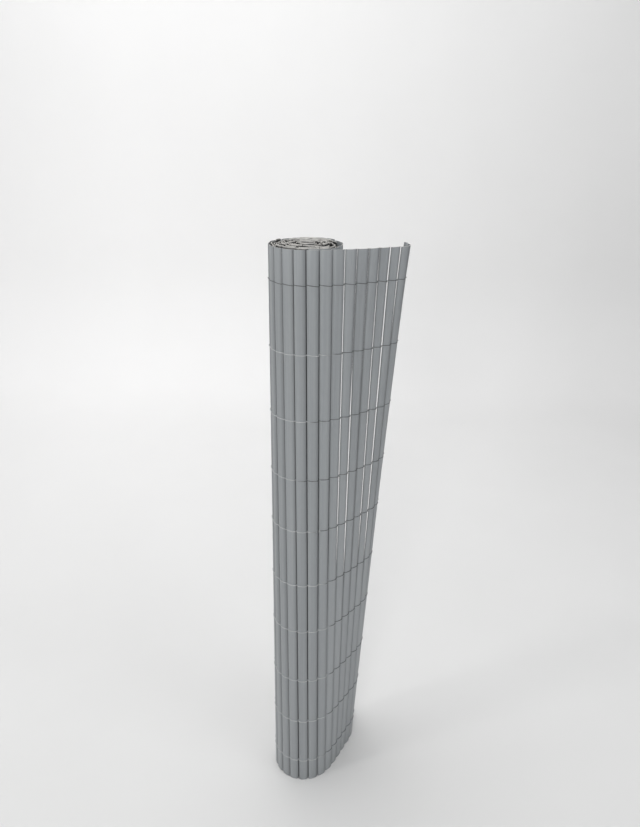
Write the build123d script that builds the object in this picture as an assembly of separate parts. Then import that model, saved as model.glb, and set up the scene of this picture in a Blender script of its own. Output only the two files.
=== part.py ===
from build123d import *

import os
from math import asin, atan2, ceil, cos, degrees, hypot, pi, radians, sin, sqrt

# A PVC privacy screen: upright C-section slats tied side by side by rows of thin twine, rolled up
# and stood on its end, with the last slats hanging open. Sizes are millimetres and angles degrees.
# The floor is z = 0, the roll's open side faces -Y and the free flap leaves towards +X.

# One slat: a shallow C, its round side outwards
SLAT_LENGTH = 1000.0
SLAT_WIDTH = 17.0
SLAT_DEPTH = 3.0
SLAT_WALL = 0.6
TWISTED_FACETS = 6

# The whole screen
SCREEN_LENGTH = 3000.0
FLAP_SEAM = 1.25
ROLLED_SEAM = 0.65

# The roll, in plan: its seams lie on a spiral that is walked from the core out
CORE_RADIUS = 10.9
LEAST_TURN_STEP = 2.6
OUTER_TURNS_RADIUS = 44.5
ROLL_END_ANGLE = -84.0
ROLL_TWIST = 10.7

# The free flap: one chord angle for each of its slats, at the top and at the base
FLAP_TOP_ANGLES = (5, 10, 22, 21, 23, 31, 30, 31, 43, 86, 106)
FLAP_BASE_ANGLES = (20, 36.5, 53, 59, 60, 62, 59, 72, 90, 102, 114)
FLAP_BEND = 0.8
FLAP_BEND_LEVELS = (0.0, 0.22, 0.48, 0.74, 1.0)

# How unevenly the slats of the inner turns were cut
CUT_SCATTER = 2.0
SCATTER_STEP = 1.9

# Twine: a flattened pair of strands in each row, its rows measured down from the top of the roll
TWINE = 0.6
TWINE_CLEARANCE = 0.1
FLAP_TWINE_CLEARANCE = 0.3
TWINE_CROWN = 2.5
TWINE_DIP = 0.95
TWINE_ROWS = (49, 150, 254, 354, 447, 552, 648, 757, 853, 951)

TOP = SLAT_LENGTH
FLAP_PITCH = SLAT_WIDTH + FLAP_SEAM
ROLLED_PITCH = SLAT_WIDTH + ROLLED_SEAM
FLAP_COUNT = len(FLAP_TOP_ANGLES)
SLAT_COUNT = round(SCREEN_LENGTH / FLAP_PITCH)
ROLLED_COUNT = SLAT_COUNT - FLAP_COUNT


def turn_step(radius):
    """How much the seam spiral grows in one turn that starts at this radius."""
    if radius > OUTER_TURNS_RADIUS:
        return SLAT_DEPTH + 2 * TWINE + 4 * TWINE_CLEARANCE
    sagitta = radius - sqrt(radius**2 - (ROLLED_PITCH / 2) ** 2)
    return max(LEAST_TURN_STEP, SLAT_DEPTH + TWINE + 3 * TWINE_CLEARANCE - sagitta)


def wound_seams():
    """The roll's seams as polar radius and angle in radians, from the core out."""
    seams = [(CORE_RADIUS, 0.0)]
    while len(seams) <= ROLLED_COUNT:
        radius, angle = seams[-1]
        step = turn_step(radius)
        turn = 2 * asin(ROLLED_PITCH / 2 / (radius + step / 4))
        for _ in range(8):
            growth = step * turn / (2 * pi)
            outer = radius + growth
            turn = 2 * asin(sqrt((ROLLED_PITCH**2 - growth**2) / (4 * radius * outer)))
        seams.append((radius + step * turn / (2 * pi), angle + turn))
    shift = radians(ROLL_END_ANGLE) - seams[-1][1]
    return [(radius, angle + shift) for radius, angle in seams]


SEAMS = wound_seams()


def turns_inside(seam):
    """How many turns a seam of the roll lies inside the roll's last seam."""
    return (SEAMS[-1][1] - SEAMS[seam][1]) / (2 * pi)


def outer_share(seam):
    """1 on the outer turn and the flap, falling to 0 across the turn below."""
    if seam >= ROLLED_COUNT:
        return 1.0
    return min(1.0, max(0.0, 2 - turns_inside(seam)))


def straight(start, end, share):
    """The point so far along a straight line in plan."""
    return tuple(a + (b - a) * share for a, b in zip(start, end))


def wound_seam(seam, level):
    """Where a seam of the roll stands in plan, at level 0 (its top) to 1 (its base)."""
    radius, angle = SEAMS[seam]
    swing = radians(ROLL_TWIST) * outer_share(seam) / 2
    ends = [(radius * cos(turned), radius * sin(turned)) for turned in (angle - swing, angle + swing)]
    return straight(*ends, level)


def bent_seam(seam, level):
    """Where a seam of the flap stands in plan at one of the levels at which the flap bends."""
    x, y = wound_seam(ROLLED_COUNT, level)
    for top, base in list(zip(FLAP_TOP_ANGLES, FLAP_BASE_ANGLES))[: seam - ROLLED_COUNT]:
        chord = radians(top + (base - top) * level**FLAP_BEND)
        x, y = x + FLAP_PITCH * cos(chord), y + FLAP_PITCH * sin(chord)
    return x, y


def seam_at(seam, z):
    """Where a seam stands in plan at height z: straight between the levels at which it bends."""
    level = (TOP - z) / TOP
    if seam <= ROLLED_COUNT:
        return wound_seam(seam, level)
    above, below = next(pair for pair in zip(FLAP_BEND_LEVELS, FLAP_BEND_LEVELS[1:]) if level <= pair[1])
    return straight(bent_seam(seam, above), bent_seam(seam, below), (level - above) / (below - above))


def slat_plane(slat, z):
    """The plane of a slat's section at height z: local +Y is outwards, and Y = 0 is the tips."""
    (ax, ay), (bx, by) = seam_at(slat, z), seam_at(slat + 1, z)
    return Plane(origin=((ax + bx) / 2, (ay + by) / 2, z), x_dir=(ax - bx, ay - by, 0), z_dir=(0, 0, 1))


def slat_arcs():
    """The outer and the inner arc of the slat's C section, both from its +X tip to its -X tip."""
    half = SLAT_WIDTH / 2
    rise = SLAT_DEPTH
    for _ in range(8):
        radius = (half**2 + rise**2) / (2 * rise)
        edge = asin(half / radius)
        rise = SLAT_DEPTH - SLAT_WALL * cos(edge)
    centre = (0, SLAT_DEPTH - radius)
    start, sweep = 90 - degrees(edge), 2 * degrees(edge)
    return [CenterArc(centre, size, start, sweep) for size in (radius, radius - SLAT_WALL)]


def slat_section():
    """The slat's C section: two arcs with square tips."""
    outer, inner = slat_arcs()
    tips = [Line(outer @ end, inner @ end) for end in (0, 1)]
    return make_face([outer, inner, *tips])


def slat_outline():
    """Points round the C section: along its outer arc, then back along its inner arc."""
    outer, inner = slat_arcs()
    shares = [step / TWISTED_FACETS for step in range(TWISTED_FACETS + 1)]
    return [outer @ share for share in shares] + [inner @ share for share in reversed(shares)]


SECTION = slat_section()
OUTLINE = slat_outline()


def slat_head(slat):
    """The height of a slat's upper end: every slat stands on the floor, some lean and some are longer."""
    if outer_share(slat) == 0:
        return SLAT_LENGTH + max(0.0, CUT_SCATTER * sin(SCATTER_STEP * slat))
    top_point = slat_plane(slat, TOP).origin
    base_point = slat_plane(slat, 0).origin
    lean = atan2(hypot(top_point.X - base_point.X, top_point.Y - base_point.Y), TOP)
    return SLAT_LENGTH * cos(lean)


def twisted_solid(rings):
    """A closed solid through rings of points, of flat facets only: the facets of the outer and the
    inner side are split along the same diagonal, so that the wall keeps its thickness."""
    faces = [Face(Wire.make_polygon(ring, close=True)) for ring in (rings[0], rings[-1])]
    for lower, upper in zip(rings, rings[1:]):
        for at in range(len(OUTLINE)):
            a, b, c, d = lower[at - 1], lower[at], upper[at], upper[at - 1]
            corners = [(a, b, c), (a, c, d)] if at <= TWISTED_FACETS else [(a, b, d), (b, c, d)]
            faces += [Face(Wire.make_polygon(three, close=True)) for three in corners]
    return Solid(Shell(faces))


def slat_solid(slat):
    """One slat: straight in the inner turns, gently twisted in the outer ones and the flap."""
    head = slat_head(slat)
    if outer_share(slat) == 0:
        return extrude(slat_plane(slat, 0) * SECTION, amount=head)
    heights = [0, head]
    if slat >= ROLLED_COUNT:
        heights[1:1] = [TOP * (1 - level) for level in FLAP_BEND_LEVELS[-2:0:-1]]
    return twisted_solid([[slat_plane(slat, z).from_local_coords(point) for point in OUTLINE] for z in heights])


def seam_out(seam, z):
    """The direction in plan that halves the angle between the slats at a seam, outwards."""
    after = min(seam, SLAT_COUNT - 1)
    before = max(seam - 1, 0)
    out = slat_plane(before, z).y_dir + slat_plane(after, z).y_dir
    return out.normalized()


def in_plan(slat, z, points):
    """Points given on a slat's section plane, as points of the model."""
    plane = slat_plane(slat, z)
    return [plane.from_local_coords(Vector(x, y, 0)) for x, y in points]


def from_seam(seam, z, out):
    """A point that lies so far outwards of a seam."""
    return Vector(*seam_at(seam, z), z) + seam_out(seam, z) * out


def first_outer_slat():
    """The first slat of the outer turn."""
    return next(slat for slat in range(ROLLED_COUNT) if turns_inside(slat) <= 1)


def twine_room(slat):
    """How far the twine stays off a slat: the slats of the flap twist, so they need more room."""
    return FLAP_TWINE_CLEARANCE if slat >= ROLLED_COUNT else TWINE_CLEARANCE


def twine_window(slat, z):
    """The hole of the twine that one slat stands in."""
    side, room = SLAT_WIDTH / 2 + TWINE_CLEARANCE, twine_room(slat)
    right = [(side, -room), (side, TWINE_DIP + room), (TWINE_CROWN, SLAT_DEPTH + room)]
    left = [(-x, y) for x, y in reversed(right)]
    return Wire.make_polygon(in_plan(slat, z, right + left), close=True)


def twine_row(level):
    """One row of twine: over and under each slat of the outer turn and the flap, and over the
    crowns of the inner turns down to the core."""
    z = TOP - level - TWINE / 2
    first = first_outer_slat()
    outside, inside = [], []
    for slat in range(SLAT_COUNT):
        room = twine_room(slat)
        under, over = SLAT_DEPTH + room, SLAT_DEPTH + room + TWINE
        outside += in_plan(slat, z, [(TWINE_CROWN, over), (-TWINE_CROWN, over)])
        outside.append(from_seam(slat + 1, z, TWINE_DIP + room + TWINE))
        if slat < first:
            inside += in_plan(slat, z, [(TWINE_CROWN, under), (-TWINE_CROWN, under)])
            inside.append(from_seam(slat + 1, z, TWINE_DIP + room))
        if slat >= first - 1:
            inside.append(from_seam(slat + 1, z, -room - TWINE))
    boundary = Wire.make_polygon(outside + inside[::-1], close=True)
    windows = [twine_window(slat, z) for slat in range(first, SLAT_COUNT)]
    return extrude(Face(boundary, windows), amount=TWINE, dir=(0, 0, 1))


def build():
    """Every node's solids by name, in the roll's own frame."""
    nodes = {}
    first = first_outer_slat()
    for slat in range(SLAT_COUNT):
        solid = slat_solid(slat)
        if slat >= ROLLED_COUNT:
            name = f"flap_slat_{slat - ROLLED_COUNT + 1:02d}"
        elif slat >= first:
            name = f"outer_slat_{slat - first + 1:02d}"
        else:
            name = f"inner_turn_{ceil(turns_inside(slat)) - 1:02d}"
        nodes.setdefault(name, []).extend(solid.solids())
    for row, level in enumerate(TWINE_ROWS, 1):
        nodes[f"twine_row_{row:02d}"] = twine_row(level).solids()
    return nodes


def main():
    nodes = build()
    box = Compound([solid for solids in nodes.values() for solid in solids]).bounding_box()
    move = Pos(-box.center().X, -box.center().Y, -box.min.Z)
    os.makedirs("parts", exist_ok=True)
    for name, solids in nodes.items():
        placed = [move * solid for solid in solids]
        export_step(placed[0] if len(placed) == 1 else Compound(placed), f"parts/{name}.step")
    print("slats", SLAT_COUNT, "roll radius", round(SEAMS[-1][0], 2))
    print("moved by", [round(value, 3) for value in move.position])
    print("nodes", len(nodes), "size", box.size)


main()
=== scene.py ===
from math import asin, atan2, ceil, cos, pi, radians, sin, sqrt

import bmesh
import bpy
from mathutils import Matrix, Vector, noise


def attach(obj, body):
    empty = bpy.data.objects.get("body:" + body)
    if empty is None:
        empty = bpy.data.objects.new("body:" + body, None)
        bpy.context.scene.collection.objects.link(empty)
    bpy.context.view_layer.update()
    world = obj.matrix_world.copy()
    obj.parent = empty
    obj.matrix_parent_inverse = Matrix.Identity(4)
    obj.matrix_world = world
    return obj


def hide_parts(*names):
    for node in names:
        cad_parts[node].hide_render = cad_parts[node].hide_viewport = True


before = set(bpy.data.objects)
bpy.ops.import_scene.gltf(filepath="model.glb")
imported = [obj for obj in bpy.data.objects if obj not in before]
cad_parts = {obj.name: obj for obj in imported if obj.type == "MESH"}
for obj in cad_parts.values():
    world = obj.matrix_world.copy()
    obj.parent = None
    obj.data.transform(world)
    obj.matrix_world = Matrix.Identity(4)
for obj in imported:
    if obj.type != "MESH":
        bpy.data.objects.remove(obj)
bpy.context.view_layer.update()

# The screen, in millimetres in the roll's own frame, as in the CAD model. The roll's axis stands at
# ROLL_AXIS. Slats and seams are counted from the core out, and seam n is slat n's first edge.
MM = 0.001
ROLL_AXIS = Vector((-48.018, -27.73, 0.0))
SLAT_LENGTH = 1000.0
TOP = SLAT_LENGTH
SLAT_WIDTH = 17.0
SLAT_DEPTH = 3.0
SLAT_WALL = 0.6
SLAT_COUNT = 164
ROLLED_COUNT = 153
TWINE_ROWS = (49, 150, 254, 354, 447, 552, 648, 757, 853, 951)

# The spiral that the roll's seams stand on. Each turn steps out by a layer of slats, and past
# OUTER_TURNS_RADIUS by a looser one. The roll is twisted over its height. Angles are in degrees.
CORE_RADIUS = 10.9
ROLLED_PITCH = 17.65
INNER_LAYER = 3.9
LEAST_TURN_STEP = 2.6
OUTER_TURNS_RADIUS = 44.5
OUTER_TURN_STEP = 4.6
ROLL_END_ANGLE = -84.0
ROLL_TWIST = 10.7

# The flap: the angle of each slat's chord at its top and at its base, from the roll outwards, and
# the power of the level by which the one passes into the other
FLAP_PITCH = 18.25
FLAP_TOP_ANGLES = (5, 10, 22, 21, 23, 31, 30, 31, 43, 86, 106)
FLAP_BASE_ANGLES = (20, 36.5, 53, 59, 60, 62, 59, 72, 90, 102, 114)
FLAP_BEND = 0.8

# The finer section that the CAD model leaves out: the power of its crown, how far the wall's middle
# line ends inside its width, its softened rims, and the folds that count as a rim and as a crease.
# A slat's mesh has strips across it and sections along it, and its vertices carry two marks.
CROWN_POWER = 3.4
MIDDLE_INSET = 0.35 * SLAT_WALL
RIM_BEVEL = 0.12
RIM_FOLD = radians(60)
CREASE_FOLD = radians(38)
SLAT_STRIPS = 18
FLAP_SECTIONS = 24
OUTER_SECTIONS = 14
INNER_SECTIONS = 4
SLAT_MARKS = ("across_slat", "below_head")

# The upper ends. The outer slats are cut a little unevenly, up to the last few before the flap. The
# inner ones are cut roughly, and some sit so deep that they leave a hollow: wherever the wandering
# value passes HOLLOW_ABOVE, and all along the side where the turns below the outer one are loose.
EVEN_SLATS = 5
OUTER_CUT = 1.4
INNER_CUT = 5
INNER_RISE = 0.4
MOST_INNER_RISE = 2.2
CUT_SCATTER = 1.2
SCATTER_STEP = 1.9
HOLLOW = 5.5
HOLLOW_ABOVE = 0.18
LOOSE_TURNS = 3
LOOSE_SIDE = (radians(-40), radians(28))

# How far slats stray from their places, and how far they turn
INNER_STRAY = 0.5
INNER_TURN = radians(7)
STRAY_ALONG = 0.08
STRAY_OUTWARDS = 0.15
STRAY_TURN = radians(1)
ROLLED_TURN = radians(4.5)
FLAP_TURN = radians(-2)
LOW_FLAP_TURN = radians(-7)

# The gap at each seam of the front, as levels and gaps from the top down: where the twine holds two
# slats tight the seam closes, and where it is slack light falls through. Seam 0 is the roll's last
# one, and 11 is the flap's free edge.
ROLLED_GAP = 0.5
SEAM_GAPS = {
    -1: ((0, 0.8), (0.5, 0.9), (1, 1.2)),
    0: ((0, 1.0),),
    1: ((0, 0.8), (0.3, 1.0), (1, 0.9)),
    2: ((0, 0.4), (0.2, 0.6), (0.35, 1.0), (1, 0.9)),
    3: ((0, 0.9), (0.12, 1.1), (0.3, 1.5), (0.45, 1.6), (0.55, 0.5), (1, 0.4)),
    4: (
        (0, 0.6),
        (0.06, 0.35),
        (0.17, 0.45),
        (0.24, 1.9),
        (0.45, 2.2),
        (0.52, 1.6),
        (0.58, 0.8),
        (1, 0.5),
    ),
    5: ((0, 0.3), (0.25, 0.45), (0.5, 0.6), (1, 0.9)),
    6: ((0, 0.55), (0.07, 1.3), (0.25, 1.8), (0.45, 2.3), (0.54, 0.95), (1, 1.1)),
    7: ((0, 1.9), (0.12, 2.2), (0.3, 2.7), (0.48, 3.0), (0.57, 1.6), (0.62, 1.0), (1, 1.0)),
    8: ((0, 1.9), (0.06, 1.9), (0.11, 1.2), (0.15, 0.55), (0.45, 0.6), (1, 1.0)),
    9: ((0, 0.6),),
    10: ((0, 0.9),),
    11: ((0, 1.25),),
}

# The twine: the radii of a strand, and where it runs on a slat's section. In front it lies on the
# outer face, at shares of the half width, and leans out over the shoulders. Behind it lies at
# places across the hollow side, a little lower. In between it dips into the seams.
STRAND = 0.5
STRAND_AT_SEAM = 0.36
STRAND_CLEARANCE = 0.04
SHOULDER_LEAN = 0.35
FRONT_SHARES = (0.985, 0.866, 0.5, 0.0, -0.5, -0.866, -0.985)
INNER_SHARES = (0.643, 0.0, -0.643)
BACK_PLACES = (6.5, 0.0, -6.5)
BACK_DEPTH = -0.5
SEAM_REACH = 0.45
SEAM_DEPTH = 0.45
INNER_SEAM_DEPTH = 1.3
BACK_SEAM_DEPTH = -0.2
BACK_LOWER = 0.2
BACK_SEAM_HIGHER = 0.35
ROLLED_DROP = 0.2
FLAP_DROP = 1.0
MERGE_WITHIN = 0.001

# Colours. A pair runs from a finish's darker shade to its lighter one.
PVC_GREY = ((0.252, 0.266, 0.276), (0.318, 0.334, 0.344))
# Painted shade for the slats' edges, where the seams and the neighbouring slats shade them
EDGE_PAINTED_SHADE = (0.08, 0.082, 0.085)
CUT_END = (0.70, 0.68, 0.63)
# Painted light near the inner slats' heads, and painted shade in the hollows below them
HEAD_PAINTED_LIGHT = (0.53, 0.52, 0.50)
HOLLOW_PAINTED_SHADE = (0.03, 0.03, 0.03)
TWINE_DARK = ((0.08, 0.085, 0.09), (0.16, 0.165, 0.17))
# Painted highlight on the twine's left part
TWINE_PAINTED_HIGHLIGHT = ((0.36, 0.37, 0.375), (0.62, 0.63, 0.635))
# Painted light on the studio paper, with a little random tone
PAPER_TONE_AND_PAINTED_LIGHT = ((0.65, 0.65, 0.645), (0.97, 0.965, 0.96))

# The studio, in metres. A lamp has a name, a place, a point that it is aimed at, a width, watts and
# a colour.
SWEEP_BEND = 0.5
WALL_BEHIND = 2.2
SWEEP_REACH = 4.0
SWEEP_STEPS = 120
FLOOR_DROP = 0.0002
LAMPS = (
    ("front_soft_box", (-0.5, -2.6, 1.7), (0, 0, 0.5), 0.7, 23, (1.0, 0.995, 0.98)),
    ("left_soft_box", (-2.4, -1.1, 1.5), (0, 0, 0.6), 0.35, 12, (1.0, 0.995, 0.98)),
    ("right_soft_box", (2.3, -1.4, 1.7), (0, 0, 0.5), 1.6, 17, (0.98, 0.99, 1.0)),
    ("top_soft_box", (-0.3, 0.4, 3.4), (-0.1, 0.9, 0), 1.8, 48, (1, 1, 1)),
)
SURROUND = (0.97, 0.98, 1.0)

# The photograph's camera: its place in the roll's own frame, in millimetres, and its angles
CAMERA_PLACE = Vector((22.9, -1005.1, TOP + 165.5))
CAMERA_DOWN = radians(23.08)
CAMERA_ROLL = radians(0.85)
CAMERA_LENS = 30.3
SENSOR_WIDTH = 36


def wander(*place):
    """A smooth value from -1 to 1 that is the same in each run. Callers multiply the slat's number,
    so that neighbours differ, and end with a number of their own, so that no two uses agree."""
    return noise.noise(Vector(place) + Vector((11.3, 4.7, 8.1)))


def held(share):
    """A share, held between 0 and 1."""
    return min(1.0, max(0.0, share))


def between(first, last, share):
    """The value a share of the way from one value to another."""
    return first + (last - first) * share


# The roll in plan


def turn_step(radius):
    """How much the seam spiral grows in one turn that starts at this radius."""
    if radius > OUTER_TURNS_RADIUS:
        return OUTER_TURN_STEP
    sagitta = radius - sqrt(radius**2 - (ROLLED_PITCH / 2) ** 2)
    return max(LEAST_TURN_STEP, INNER_LAYER - sagitta)


def wound_seams():
    """The roll's seams as polar radius and angle, from the core out. A first guess of each slat's
    turn is refined until its two seams are one pitch apart."""
    seams = [(CORE_RADIUS, 0.0)]
    while len(seams) <= ROLLED_COUNT:
        radius, angle = seams[-1]
        step = turn_step(radius)
        turn = 2 * asin(ROLLED_PITCH / 2 / (radius + step / 4))
        for _ in range(8):
            growth = step * turn / (2 * pi)
            turn = 2 * asin(sqrt((ROLLED_PITCH**2 - growth**2) / (4 * radius * (radius + growth))))
        seams.append((radius + step * turn / (2 * pi), angle + turn))
    shift = radians(ROLL_END_ANGLE) - seams[-1][1]
    return [(radius, angle + shift) for radius, angle in seams]


SEAMS = wound_seams()


def turns_inside(seam):
    """How many turns a seam of the roll lies inside the roll's last seam."""
    return (SEAMS[-1][1] - SEAMS[seam][1]) / (2 * pi)


FIRST_OUTER = next(slat for slat in range(ROLLED_COUNT) if turns_inside(slat) <= 1)


def outer_share(seam):
    """1 on the outer turn and the flap, falling to 0 across the turn below."""
    return 1.0 if seam >= ROLLED_COUNT else held(2 - turns_inside(seam))


def seam_at(seam, level):
    """Where a seam stands in plan, at level 0 (its top) to 1 (its base)."""
    radius, angle = SEAMS[min(seam, ROLLED_COUNT)]
    swing = radians(ROLL_TWIST) * outer_share(seam) / 2
    top, base = [
        Vector((radius * cos(turned), radius * sin(turned)))
        for turned in (angle - swing, angle + swing)
    ]
    place = top.lerp(base, level)
    flap_angles = list(zip(FLAP_TOP_ANGLES, FLAP_BASE_ANGLES))
    for above, below in flap_angles[: max(0, seam - ROLLED_COUNT)]:
        chord = radians(between(above, below, max(level, 0) ** FLAP_BEND))
        place += FLAP_PITCH * Vector((cos(chord), sin(chord)))
    return place


def slat_frame(slat, level):
    """The middle of a slat's chord and its directions in plan: along the chord, and outwards."""
    first, last = seam_at(slat, level), seam_at(slat + 1, level)
    along = (first - last).normalized()
    return (first + last) / 2, along, Vector((-along.y, along.x))


def slat_head(slat):
    """The height of a slat's upper end. A slat that leans ends a little lower."""
    if outer_share(slat) == 0:
        head = SLAT_LENGTH + max(0.0, CUT_SCATTER * sin(SCATTER_STEP * slat))
    else:
        run = slat_frame(slat, 0)[0] - slat_frame(slat, 1)[0]
        head = SLAT_LENGTH * cos(atan2(run.length, TOP))
    if slat >= ROLLED_COUNT - EVEN_SLATS:
        return head
    if slat >= FIRST_OUTER:
        return head + OUTER_CUT * wander(slat * 2.3, 7, 1)
    middle = slat_frame(slat, 0)[0]
    start, end = LOOSE_SIDE
    loose = turns_inside(slat) < LOOSE_TURNS and start < atan2(middle.y, middle.x) < end
    hollow = loose or wander(slat * 7.7, 4, 6) > HOLLOW_ABOVE
    rise = min(MOST_INNER_RISE, INNER_RISE + INNER_CUT * wander(slat * 5.1, 2, 2))
    return head + rise - (HOLLOW if hollow else 0.0)


def seam_gap(seam, level):
    """The gap at a seam, at a level."""
    knots = SEAM_GAPS.get(seam - ROLLED_COUNT, ((0, ROLLED_GAP),))
    if level <= knots[0][0]:
        return knots[0][1]
    for (start, first), (end, last) in zip(knots, knots[1:]):
        if level <= end:
            return between(first, last, (level - start) / (end - start))
    return knots[-1][1]


def slat_bend(slat, level):
    """How far a slat strays along its chord and outwards, and how much it turns, at a level. The
    roll's last two slats stand proud at their first edge. That fades over the flap's first three,
    and from there on they stand proud at their last edge, more so in the lower half."""
    if slat < FIRST_OUTER:
        lift = INNER_STRAY * wander(slat * 6.1, 0, 5)
        return 0.0, lift, INNER_TURN * wander(slat * 4.3, 0, 3)
    along = STRAY_ALONG * wander(slat * 3.7, level * 2.2, 0)
    outwards = STRAY_OUTWARDS * wander(slat * 3.7, level * 2.2, 5)
    turn = STRAY_TURN * wander(slat * 3.7, level * 1.8, 9)
    if slat > ROLLED_COUNT - 3:
        flap_turn = between(FLAP_TURN, LOW_FLAP_TURN, held((level - 0.5) / 0.2))
        turn += between(ROLLED_TURN, flap_turn, held((slat - ROLLED_COUNT + 1) / 3))
    return along, outwards, turn


def slat_point(slat, level, point):
    """A point of a slat's section, in plan. The outer slats narrow where their seams open."""
    middle, along, out = slat_frame(slat, level)
    shift, lift, turn = slat_bend(slat, level)
    if slat >= FIRST_OUTER:
        pitch = FLAP_PITCH if slat >= ROLLED_COUNT else ROLLED_PITCH
        gap = seam_gap(slat if point.x > 0 else slat + 1, level)
        point = Vector((point.x * (pitch - gap) / SLAT_WIDTH, point.y))
    x = point.x * cos(turn) - point.y * sin(turn) + shift
    y = point.x * sin(turn) + point.y * cos(turn) + lift
    return middle + along * x + out * y


def model_point(plan, z):
    """A point of the roll's own frame, as a point of the scene."""
    return (Vector((plan.x, plan.y, z)) + ROLL_AXIS) * MM


# Meshes


def new_piece(name, mesh_data, node, material):
    """One object of a finished bmesh that stands for a CAD node."""
    mesh = bpy.data.meshes.new(name)
    bmesh.ops.recalc_face_normals(mesh_data, faces=mesh_data.faces)
    for edge in mesh_data.edges:
        edge.smooth = not edge.is_manifold or edge.calc_face_angle() < CREASE_FOLD
    for face in mesh_data.faces:
        face.smooth = True
    mesh_data.to_mesh(mesh)
    mesh_data.free()
    mesh.materials.append(material)
    piece = bpy.data.objects.new(name, mesh)
    bpy.context.scene.collection.objects.link(piece)
    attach(piece, "root")
    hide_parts(node)


def outer_face(share):
    """A point of the C section's outer face, at a share of the half width from -1 to 1: half a wall
    out from the wall's middle line."""
    half = SLAT_WIDTH / 2 - MIDDLE_INSET
    rise = SLAT_DEPTH - SLAT_WALL
    steepness = CROWN_POWER * rise / half * abs(share) ** (CROWN_POWER - 1)
    out = Vector((steepness if share > 0 else -steepness, 1)).normalized()
    middle = Vector((half * share, SLAT_WALL / 2 + rise * (1 - abs(share) ** CROWN_POWER)))
    return middle + out * SLAT_WALL / 2


def add_slat(mesh_data, slat, sections):
    """One slat's outer face: a grid that is bent into the C section and laid along the slat. Each
    vertex keeps how far across the slat it is, and how far below the head, for the material."""
    head = slat_head(slat)
    across, below = [mesh_data.verts.layers.float[mark] for mark in SLAT_MARKS]
    grid = bmesh.ops.create_grid(mesh_data, x_segments=SLAT_STRIPS, y_segments=sections, size=0.5)
    for vertex in grid["verts"]:
        section = outer_face(sin(-pi * vertex.co.x))
        z = head * (vertex.co.y + 0.5)
        vertex[across] = 0.5 - section.x / SLAT_WIDTH
        vertex[below] = head - z
        vertex.co = model_point(slat_point(slat, (TOP - z) / TOP, section), z)


def give_walls(mesh_data):
    """The slats' wall on the inside of their outer faces, and softened rims all round."""
    mesh_data.normal_update()
    bmesh.ops.solidify(mesh_data, geom=mesh_data.faces[:], thickness=SLAT_WALL * MM)
    bmesh.ops.recalc_face_normals(mesh_data, faces=mesh_data.faces)
    rims = [edge for edge in mesh_data.edges if edge.calc_face_angle(0) > RIM_FOLD]
    bmesh.ops.bevel(
        mesh_data,
        geom=rims,
        offset=RIM_BEVEL * MM,
        segments=2,
        profile=0.5,
        affect="EDGES",
        material=-1,
    )


def add_strand(mesh_data, path):
    """A tube along points that each carry their own radius in millimetres."""
    curve = bpy.data.curves.new("strand", "CURVE")
    curve.dimensions = "3D"
    curve.bevel_depth = MM
    curve.bevel_resolution = 1
    curve.use_fill_caps = True
    line = curve.splines.new("POLY")
    line.points.add(len(path) - 1)
    for point, (place, radius) in zip(line.points, path):
        point.co = (*place, 1)
        point.radius = radius
    holder = bpy.data.objects.new("strand", curve)
    tube = bpy.data.meshes.new_from_object(holder)
    mesh_data.from_mesh(tube)
    bpy.data.objects.remove(holder)
    bpy.data.curves.remove(curve)
    bpy.data.meshes.remove(tube)


def row_height(slat, row_level):
    """The height of a row of twine on a slat: measured along the slat from its upper end."""
    if slat < FIRST_OUTER:
        return TOP - row_level
    return slat_head(slat) * (1 - row_level / SLAT_LENGTH)


def strand_drop(slat, row_level):
    """How far the front strand drops from the middle of a slat to its last edge."""
    if slat < FIRST_OUTER:
        return 0.0
    usual = FLAP_DROP if slat >= ROLLED_COUNT else ROLLED_DROP
    return usual - wander(slat * 2.9, row_level, 4)


def twine_strands(row_level):
    """The paths of one row's strands, as points and radii: in front of all the slats, and behind
    those of the outer turn and the flap."""
    front, back = [], []
    seam_x = -SLAT_WIDTH / 2 - SEAM_REACH
    for slat in range(SLAT_COUNT):
        outer = slat >= FIRST_OUTER
        z = row_height(slat, row_level)
        seam_z = (z + row_height(min(slat + 1, SLAT_COUNT - 1), row_level)) / 2
        drop = strand_drop(slat, row_level)
        before = []
        for share in FRONT_SHARES if outer else INNER_SHARES:
            clear = Vector((SHOULDER_LEAN * share**3, 1)).normalized() * (STRAND + STRAND_CLEARANCE)
            before.append((outer_face(share) + clear, z + drop * share, STRAND))
        seam_y = SEAM_DEPTH if outer else INNER_SEAM_DEPTH
        before.append((Vector((seam_x, seam_y)), seam_z, STRAND_AT_SEAM))
        behind = []
        if outer:
            behind = [(Vector((x, BACK_DEPTH)), z - BACK_LOWER, STRAND) for x in BACK_PLACES]
            under = Vector((seam_x, BACK_SEAM_DEPTH))
            behind.append((under, seam_z + BACK_SEAM_HIGHER, STRAND_AT_SEAM))
        for strand, points in ((front, before), (back, behind)):
            for point, height, radius in points:
                plan = slat_point(slat, (TOP - z) / TOP, point)
                strand.append((model_point(plan, height), radius))
    return front, back


# Materials: maths on shader sockets reads as ordinary arithmetic


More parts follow.
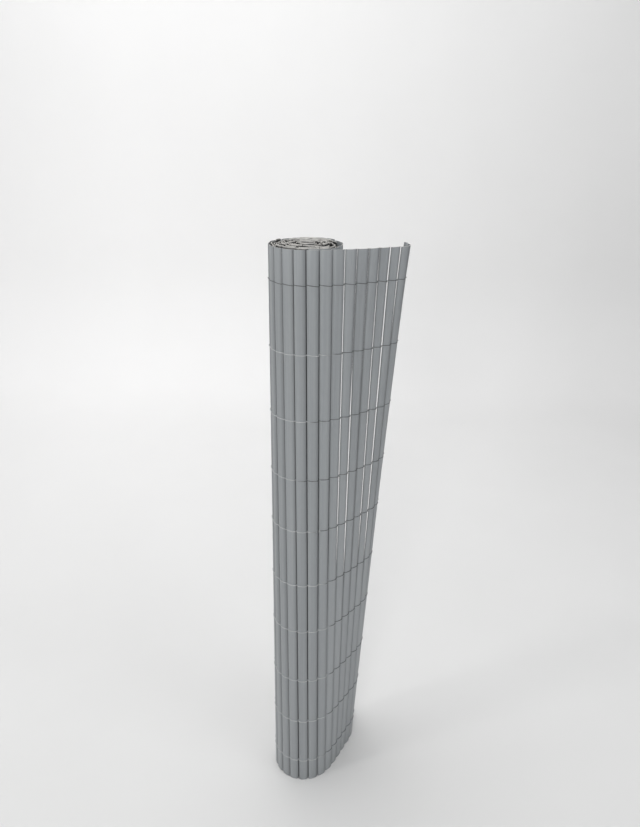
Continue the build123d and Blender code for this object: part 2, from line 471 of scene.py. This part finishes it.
class Value:
    """A socket of a node tree, with arithmetic that adds math nodes."""

    def __init__(self, tree, socket):
        self.tree, self.socket = tree, socket

    def math(self, operation, *others):
        """A math node fed by this value and others."""
        new = self.tree.nodes.new("ShaderNodeMath")
        new.operation = operation
        for at, source in enumerate((self, *others)):
            if isinstance(source, Value):
                self.tree.links.new(source.socket, new.inputs[at])
            else:
                new.inputs[at].default_value = source
        return Value(self.tree, new.outputs[0])

    def node(self, kind, output, settings=(), **inputs):
        """Any other node: its settings, and inputs by name as values or numbers."""
        new = self.tree.nodes.new(kind)
        for key, value in dict(settings).items():
            setattr(new, key, value)
        for key, value in inputs.items():
            socket = new.inputs[key.replace("_", " ")]
            if isinstance(value, Value):
                self.tree.links.new(value.socket, socket)
            else:
                socket.default_value = value
        return Value(self.tree, new.outputs[output])

    def part(self, axis):
        """One coordinate of a vector."""
        return self.node("ShaderNodeSeparateXYZ", axis, Vector=self)

    def share(self, start, end):
        """How far the value has come from start to end, held between 0 and 1."""
        return self.node("ShaderNodeMapRange", "Result", Value=self, From_Min=start, From_Max=end)

    def blend(self, first, last):
        """The colour that lies this share of the way from one colour to another."""
        mix = self.tree.nodes.new("ShaderNodeMix")
        mix.data_type = "RGBA"
        self.tree.links.new(self.socket, mix.inputs[0])
        for socket, color in ((mix.inputs[6], first), (mix.inputs[7], last)):
            if isinstance(color, Value):
                self.tree.links.new(color.socket, socket)
            else:
                socket.default_value = (*color, 1)
        return Value(self.tree, mix.outputs[2])

    def feed(self, node, socket_name):
        """Links the value to a socket of a shader."""
        self.tree.links.new(self.socket, node.inputs[socket_name])

    def __add__(self, other):
        return self.math("ADD", other)

    def __sub__(self, other):
        return self.math("SUBTRACT", other)

    def __rsub__(self, other):
        return self * -1 + other

    def __mul__(self, other):
        return self.math("MULTIPLY", other)

    def __abs__(self):
        return self.math("ABSOLUTE")

    __radd__, __rmul__ = __add__, __mul__


def new_material(name, roughness, specular):
    """A material with one principled shader: the material, the shader, and the object coordinates
    and normal that its patterns read."""
    material = bpy.data.materials.new(name)
    material.use_nodes = True
    tree = material.node_tree
    shader = tree.nodes["Principled BSDF"]
    shader.inputs["Roughness"].default_value = roughness
    shader.inputs["Specular IOR Level"].default_value = specular
    surface = tree.nodes.new("ShaderNodeTexCoord").outputs
    return material, shader, Value(tree, surface["Object"]), Value(tree, surface["Normal"])


def grain(place, across, along, detail):
    """Noise that changes so many times a metre, across the slats and along them."""
    scaled = place.node("ShaderNodeMapping", "Vector", Vector=place, Scale=(across, across, along))
    return place.node("ShaderNodeTexNoise", "Fac", Vector=scaled, Scale=1.0, Detail=detail)


def extruded_face(place, across_slat, streaks, mottle):
    """Grey PVC with soft streaks, a little tone from slat to slat, and painted shade towards the
    slat's two edges, where the seams and the neighbouring slats shade it, with more of it on the
    flap."""
    tone = grain(place, across=55, along=1.2, detail=1)
    shade = (streaks - 0.5) * 0.9 + (tone - 0.5) * 1.6 + (mottle - 0.5) * 0.35 + 0.5
    on_flap = place.part("X").share(-0.002, 0.012)
    # Painted shade: darker towards the slat's last edge and towards its first edge, most of all on
    # the flap
    last_edge_shade = across_slat.share(0.66, 1.0) * (on_flap * 0.16 + 0.34)
    first_edge_shade = across_slat.share(0.14, 0.0) * (on_flap * 0.4 + 0.2)
    return (last_edge_shade + first_edge_shade).blend(shade.blend(*PVC_GREY), EDGE_PAINTED_SHADE)


def head_light_and_hollow_shade(place, below_head):
    """An inner slat's face by its head: painted light, pale, in its first millimetre or two below
    the head, and painted shade, dark, further down in the hollows.
    """
    speckle = grain(place, across=150, along=150, detail=2)
    depth = below_head + (speckle - 0.5) * 3
    return depth.share(0.4, 2.1).blend(HEAD_PAINTED_LIGHT, HOLLOW_PAINTED_SHADE)


def slat_material(name, painted_head_light_and_shade):
    """Rigid PVC, extruded along the slat, with pale cut ends. With the flag set, the face has
    painted light near the head and painted shade further down, in place of the extruded face.
    """
    material, shader, place, facing = new_material(name, roughness=0.5, specular=0.4)
    streaks = grain(place, across=700, along=6, detail=3)
    mottle = grain(place, across=260, along=120, detail=4)
    across_slat, below_head = [
        place.node("ShaderNodeAttribute", "Fac", {"attribute_name": mark}) for mark in SLAT_MARKS
    ]
    if painted_head_light_and_shade:
        # Painted light near the head, and painted shade in the hollows further down
        face = head_light_and_hollow_shade(place, below_head)
    else:
        face = extruded_face(place, across_slat, streaks, mottle)
    level_cut = abs(facing.part("Z")).share(0.45, 0.8)
    color = (level_cut * (mottle * 0.6 + 0.55)).blend(face, CUT_END)
    color.feed(shader, "Base Color")
    roughness = (streaks - 0.5) * 0.22 + (mottle - 0.5) * 0.12 + 0.47
    roughness.feed(shader, "Roughness")
    relief = streaks + mottle * 0.6
    bump = place.node("ShaderNodeBump", "Normal", Strength=0.12, Distance=0.0003, Height=relief)
    bump.feed(shader, "Normal")
    return material


def twine_material():
    """Thin plastic twine with the lay of its fibres: dark, with a pale grey painted highlight on
    the left, where light from the left catches it. The painted highlight is narrowest at a height
    of 0.67 m, and the upper row has none."""
    material, shader, place, _ = new_material("grey_twine", roughness=0.25, specular=1)
    fibres = grain(place, across=1800, along=5200, detail=2)
    height = place.part("Z")
    border = (abs(height - 0.67) * 0.28).math("MINIMUM", 0.055) - 0.047
    patches = grain(place, across=40, along=9, detail=1)
    right_of_border = place.part("X") + patches * 0.03 - border
    # Painted highlight on the strands left of the border
    painted_highlight = right_of_border.share(0.008, -0.008) * height.share(0.93, 0.90)
    color = painted_highlight.blend(fibres.blend(*TWINE_DARK), fibres.blend(*TWINE_PAINTED_HIGHLIGHT))
    color.feed(shader, "Base Color")
    bump = place.node("ShaderNodeBump", "Normal", Strength=0.3, Distance=0.0002, Height=fibres)
    bump.feed(shader, "Normal")
    return material


def paper_material():
    """Pale matt studio paper with painted light: a little darker on the near floor, and lightest at
    the far left, with a faint cloud of tone.
    """
    material, shader, place, _ = new_material("studio_paper", roughness=0.9, specular=0.1)
    cloud = grain(place, across=3, along=3, detail=2)
    near_to_far = place.part("Y").share(-0.4, 1.9)
    right_to_left = place.part("X").share(1.2, -0.9)
    # Painted light: darker on the near floor and towards the right, plus a faint random cloud of
    # tone
    light = near_to_far * (right_to_left * 0.55 + 0.45) * 0.9 + cloud * 0.1
    light.blend(*PAPER_TONE_AND_PAINTED_LIGHT).feed(shader, "Base Color")
    return material


# The pieces


def slat_piece(slat):
    """The CAD node that a slat belongs to, and how many sections it gets along its length."""
    if slat >= ROLLED_COUNT:
        return f"flap_slat_{slat - ROLLED_COUNT + 1:02d}", FLAP_SECTIONS
    if slat >= FIRST_OUTER:
        return f"outer_slat_{slat - FIRST_OUTER + 1:02d}", OUTER_SECTIONS
    return f"inner_turn_{ceil(turns_inside(slat)) - 1:02d}", INNER_SECTIONS


def build_slats(extruded, painted_head_light_and_shade):
    """Every slat of the screen, one object for each CAD node."""
    groups = {}
    for slat in range(SLAT_COUNT):
        name, sections = slat_piece(slat)
        groups.setdefault(name, []).append((slat, sections))
    for name, slats in groups.items():
        mesh_data = bmesh.new()
        for mark in SLAT_MARKS:
            mesh_data.verts.layers.float.new(mark)
        for slat, sections in slats:
            add_slat(mesh_data, slat, sections)
        give_walls(mesh_data)
        material = painted_head_light_and_shade if name.startswith("inner") else extruded
        new_piece(f"{name}_pvc", mesh_data, name, material)


def build_twine(material):
    """Every row of twine, one object for each CAD node."""
    for row, level in enumerate(TWINE_ROWS, 1):
        node = f"twine_row_{row:02d}"
        mesh_data = bmesh.new()
        for strand in twine_strands(level):
            add_strand(mesh_data, strand)
        bmesh.ops.remove_doubles(mesh_data, verts=mesh_data.verts, dist=MERGE_WITHIN * MM)
        new_piece(f"{node}_strands", mesh_data, node, material)


def build_stage(material):
    """A floor that sweeps up into a back wall, bent from one long sheet."""
    floor = SWEEP_REACH + WALL_BEHIND - SWEEP_BEND
    arc = SWEEP_BEND * pi / 2
    length = floor + arc + SWEEP_REACH
    mesh_data = bmesh.new()
    sheet = bmesh.ops.create_grid(mesh_data, x_segments=1, y_segments=SWEEP_STEPS, size=0.5)
    for vertex in sheet["verts"]:
        along = length * (vertex.co.y + 0.5)
        turn = held((along - floor) / arc) * pi / 2
        y = min(along, floor) - SWEEP_REACH + SWEEP_BEND * sin(turn)
        z = SWEEP_BEND * (1 - cos(turn)) + max(0.0, along - floor - arc)
        vertex.co = (2 * SWEEP_REACH * vertex.co.x, y, z - FLOOR_DROP)
    for face in mesh_data.faces:
        face.smooth = True
    mesh = bpy.data.meshes.new("studio_sweep")
    mesh_data.to_mesh(mesh)
    mesh_data.free()
    mesh.materials.append(material)
    sweep = bpy.data.objects.new("studio_sweep", mesh)
    bpy.context.scene.collection.objects.link(sweep)


def add_lamp(name, place, target, width, watts, color):
    """A soft square lamp aimed at a point."""
    data = bpy.data.lights.new(name, "AREA")
    data.shape = "SQUARE"
    data.size = width
    data.energy = watts
    data.color = color
    lamp = bpy.data.objects.new(name, data)
    lamp.location = place
    lamp.rotation_euler = (Vector(target) - Vector(place)).to_track_quat("-Z", "Y").to_euler()
    bpy.context.scene.collection.objects.link(lamp)


def build_surround():
    """A pale surround that is a little brighter on the left."""
    world = bpy.data.worlds.new("pale_surround")
    world.use_nodes = True
    tree = world.node_tree
    background = tree.nodes["Background"]
    background.inputs["Color"].default_value = (*SURROUND, 1)
    direction = Value(tree, tree.nodes.new("ShaderNodeTexCoord").outputs["Generated"])
    strength = direction.part("X") * -0.08 + 0.4
    strength.feed(background, "Strength")
    bpy.context.scene.world = world


def build_camera():
    """The photograph's camera: a little above the roll's top, looking down at it."""
    data = bpy.data.cameras.new("camera")
    data.sensor_width = SENSOR_WIDTH
    data.lens = CAMERA_LENS
    camera = bpy.data.objects.new("camera", data)
    place = Matrix.Translation((CAMERA_PLACE + ROLL_AXIS) * MM)
    tilt = Matrix.Rotation(radians(90) - CAMERA_DOWN, 4, "X")
    camera.matrix_world = place @ tilt @ Matrix.Rotation(CAMERA_ROLL, 4, "Z")
    bpy.context.scene.collection.objects.link(camera)
    bpy.context.scene.camera = camera


def main():
    extruded = slat_material("grey_pvc", painted_head_light_and_shade=False)
    build_slats(extruded, slat_material("grey_pvc_rough_cut", painted_head_light_and_shade=True))
    build_twine(twine_material())
    build_stage(paper_material())
    for lamp in LAMPS:
        add_lamp(*lamp)
    build_surround()
    build_camera()
    bpy.context.scene.view_settings.view_transform = "Standard"


main()
